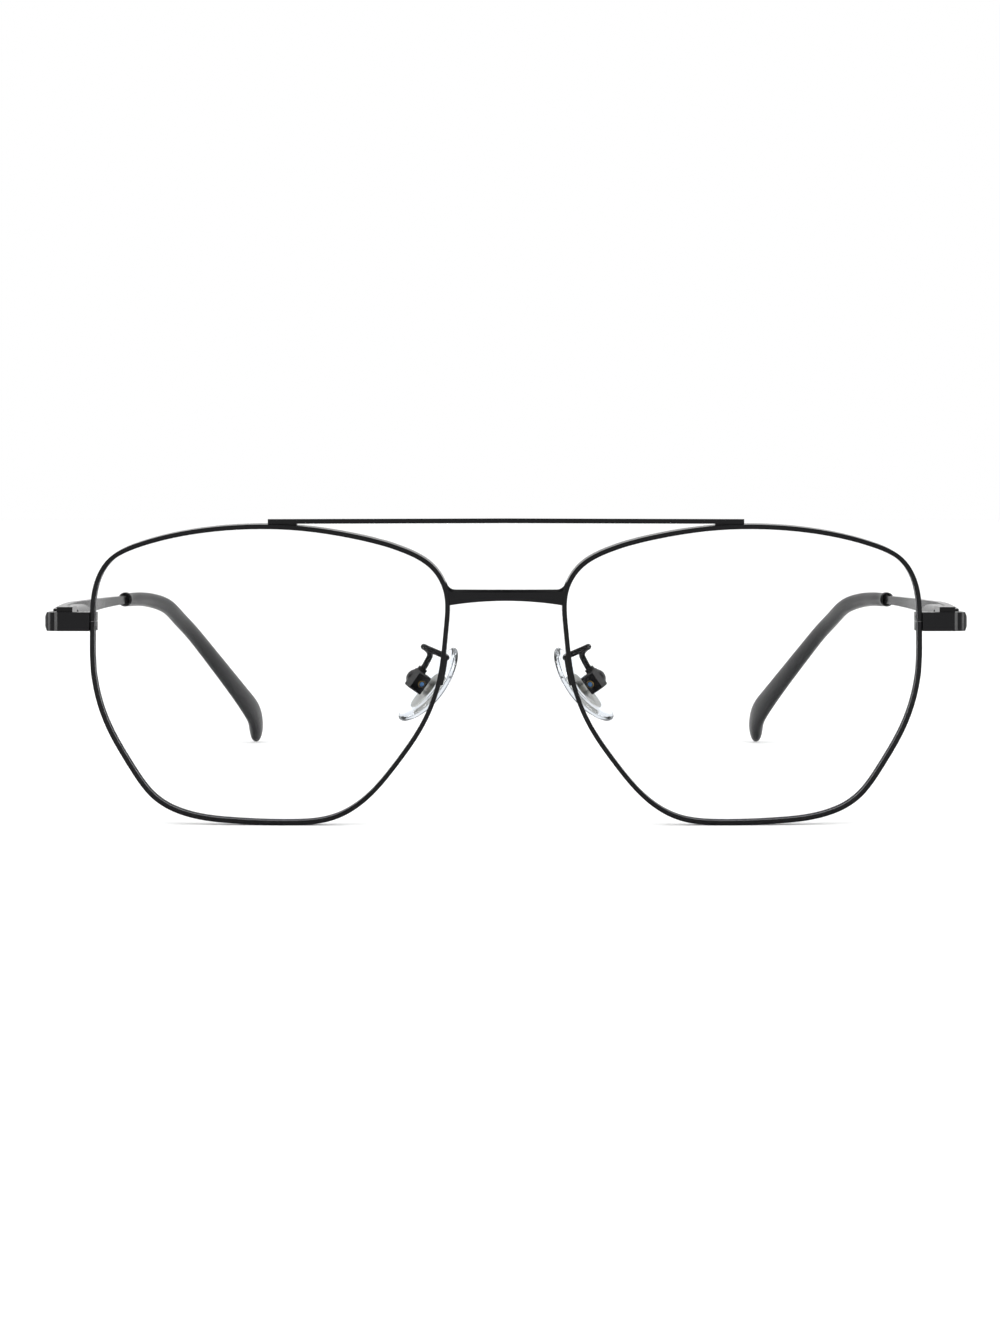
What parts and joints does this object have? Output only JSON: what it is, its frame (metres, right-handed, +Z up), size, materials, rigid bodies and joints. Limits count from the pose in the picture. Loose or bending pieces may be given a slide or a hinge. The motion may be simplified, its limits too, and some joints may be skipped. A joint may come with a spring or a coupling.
{
  "type": "double bridge glasses",
  "caption": "Thin black wire-rimmed eyeglasses with a bridge and a straight brow bar, clear lenses, rocking nose pads and sprung folding temples with plastic tips.",
  "frame": {"origin": "centre of the footprint, on the table that the rims and the temple tips stand on", "axes": "+X to the wearer's left, +Y from the front along the temples, +Z up; temples open"},
  "size_m": [0.1438, 0.1424, 0.0474],
  "materials": {
    "frame_lacquer": "satin black lacquer over metal",
    "clear_lens": "clear, uncoated",
    "clear_pad": "clear soft plastic",
    "pad_metal": "plain bright metal",
    "dark_screw": "blackened screw",
    "bright_steel": "plain steel",
    "tip_plastic": "satin black plastic"
  },
  "bodies": {
    "front": {"bridge": "frame_lacquer", "brow_bar": "frame_lacquer", "rim_left": "frame_lacquer", "rim_right": "frame_lacquer", "lens_left": "clear_lens", "lens_right": "clear_lens", "end_piece_left": "frame_lacquer", "end_piece_right": "frame_lacquer", "rim_lock_upper_left": "frame_lacquer", "rim_lock_upper_right": "frame_lacquer", "rim_lock_lower_left": "frame_lacquer", "rim_lock_lower_right": "frame_lacquer", "closing_screw_left": "dark_screw", "closing_screw_right": "dark_screw", "front_hinge_left": "frame_lacquer", "front_hinge_right": "frame_lacquer", "pad_arm_left": "frame_lacquer", "pad_arm_right": "frame_lacquer", "pad_box_left": "frame_lacquer", "pad_box_right": "frame_lacquer", "pad_screw_left": "dark_screw", "pad_screw_right": "dark_screw"},
    "left_hinge_pin": {"hinge_screw_left": "dark_screw"},
    "left_temple": {"temple_left": "frame_lacquer", "temple_tip_left": "tip_plastic", "spring_housing_left": "frame_lacquer", "housing_plug_left": "bright_steel", "hinge_spring_left": "bright_steel"},
    "left_slider": {"hinge_slider_left": "bright_steel"},
    "left_nose_pad": {"nose_pad_left": "clear_pad", "pad_core_left": "pad_metal"},
    "right_hinge_pin": {"hinge_screw_right": "dark_screw"},
    "right_temple": {"temple_right": "frame_lacquer", "temple_tip_right": "tip_plastic", "spring_housing_right": "frame_lacquer", "housing_plug_right": "bright_steel", "hinge_spring_right": "bright_steel"},
    "right_slider": {"hinge_slider_right": "bright_steel"},
    "right_nose_pad": {"nose_pad_right": "clear_pad", "pad_core_right": "pad_metal"}
  },
  "joints": [
    {"name": "temple_fold_left", "type": "hinge", "parent": "front", "child": "left_hinge_pin", "pos_m": [0.06805, -0.06148, 0.0319], "axis": [0, 0, 1], "range_deg": [0, 82]},
    {"name": "temple_flex_left", "type": "hinge", "parent": "left_hinge_pin", "child": "left_temple", "pos_m": [0.07055, -0.06148, 0.03195], "axis": [0, 0, 1], "range_deg": [-8, 0], "stiffness_Nm_per_rad": 0.15, "springref_deg": 5.73},
    {"name": "slider_follow_left", "type": "hinge", "parent": "left_hinge_pin", "child": "left_slider", "pos_m": [0.06805, -0.06148, 0.0319], "axis": [0, 0, 1], "range_deg": [-8, 0]},
    {"name": "nose_pad_tilt_left", "type": "hinge", "parent": "front", "child": "left_nose_pad", "pos_m": [0.01359, -0.06237, 0.022], "axis": [0.3382, 0.9159, 0.2162], "range_deg": [-8, 8]},
    {"name": "temple_fold_right", "type": "hinge", "parent": "front", "child": "right_hinge_pin", "pos_m": [-0.06805, -0.06148, 0.0319], "axis": [0, 0, -1], "range_deg": [0, 76]},
    {"name": "temple_flex_right", "type": "hinge", "parent": "right_hinge_pin", "child": "right_temple", "pos_m": [-0.07055, -0.06148, 0.03195], "axis": [0, 0, -1], "range_deg": [-8, 0], "stiffness_Nm_per_rad": 0.15, "springref_deg": 5.73},
    {"name": "slider_follow_right", "type": "hinge", "parent": "right_hinge_pin", "child": "right_slider", "pos_m": [-0.06805, -0.06148, 0.0319], "axis": [0, 0, -1], "range_deg": [-8, 0]},
    {"name": "nose_pad_tilt_right", "type": "hinge", "parent": "front", "child": "right_nose_pad", "pos_m": [-0.01359, -0.06237, 0.022], "axis": [-0.3382, 0.9159, 0.2162], "range_deg": [-8, 8]}
  ],
  "couplings": [
    {"joint": "slider_follow_left", "follows": "temple_flex_left", "ratio": 1},
    {"joint": "slider_follow_right", "follows": "temple_flex_right", "ratio": 1}
  ]
}
